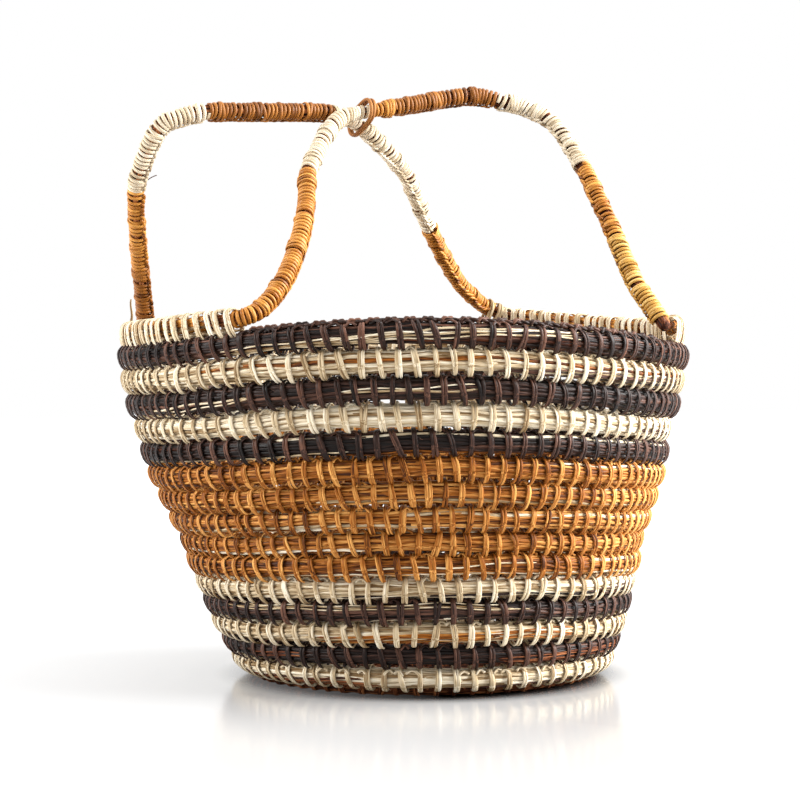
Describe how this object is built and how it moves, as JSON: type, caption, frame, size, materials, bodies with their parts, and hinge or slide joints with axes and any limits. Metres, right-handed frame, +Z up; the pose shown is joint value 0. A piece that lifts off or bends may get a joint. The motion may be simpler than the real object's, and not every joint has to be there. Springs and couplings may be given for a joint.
{
  "type": "woven market basket",
  "caption": "Round coiled-grass market basket with flared striped wall and two rope-wrapped handles that cross over the middle and are tied by a cane ring.",
  "frame": {"origin": "on the resting plane, under the middle of the rim (the centre of the bounding box's bottom face)", "axes": "+Z up; +X along the span of the two handles, towards the viewer's right; +Y from the front handle to the back handle"},
  "size_m": [0.3968, 0.3946, 0.4126],
  "materials": {
    "cream_grass": "dry natural grass bundle with pale stitches",
    "black_grass": "grass dyed black-brown",
    "orange_grass": "grass dyed orange-brown",
    "rust_grass": "grass dyed rust red",
    "ochre_rope": "grass rope core closely wrapped with dyed strands",
    "brown_cane": "split cane, smooth, slightly glossy"
  },
  "bodies": {
    "basket": {"base_start_disc": "rust_grass", "base_coil_start": "rust_grass", "base_coil_1": "rust_grass", "base_coil_2": "rust_grass", "base_coil_3": "rust_grass", "base_coil_4": "rust_grass", "base_coil_5": "rust_grass", "base_coil_6": "rust_grass", "base_coil_7": "rust_grass", "wall_coil_01": "cream_grass", "wall_coil_02": "black_grass", "wall_coil_03": "cream_grass", "wall_coil_04": "black_grass", "wall_coil_05": "cream_grass", "wall_coil_06": "orange_grass", "wall_coil_07": "orange_grass", "wall_coil_08": "orange_grass", "wall_coil_09": "orange_grass", "wall_coil_10": "orange_grass", "wall_coil_11": "black_grass", "wall_coil_12": "cream_grass", "wall_coil_13": "black_grass", "wall_coil_14": "cream_grass", "wall_coil_15": "black_grass", "front_handle": "ochre_rope", "back_handle": "ochre_rope", "left_rim_rope": "ochre_rope", "right_rim_rope": "ochre_rope", "left_lashing": "cream_grass", "right_lashing": "cream_grass", "front_rim_strand": "black_grass", "back_rim_strand": "black_grass"},
    "keeper": {"keeper_ring": "brown_cane"}
  },
  "joints": [
    {"name": "keeper_slide", "type": "slide", "parent": "basket", "child": "keeper", "axis": [0.9601, 0.268, -0.08], "range_m": [-0.002, 0.002]}
  ]
}
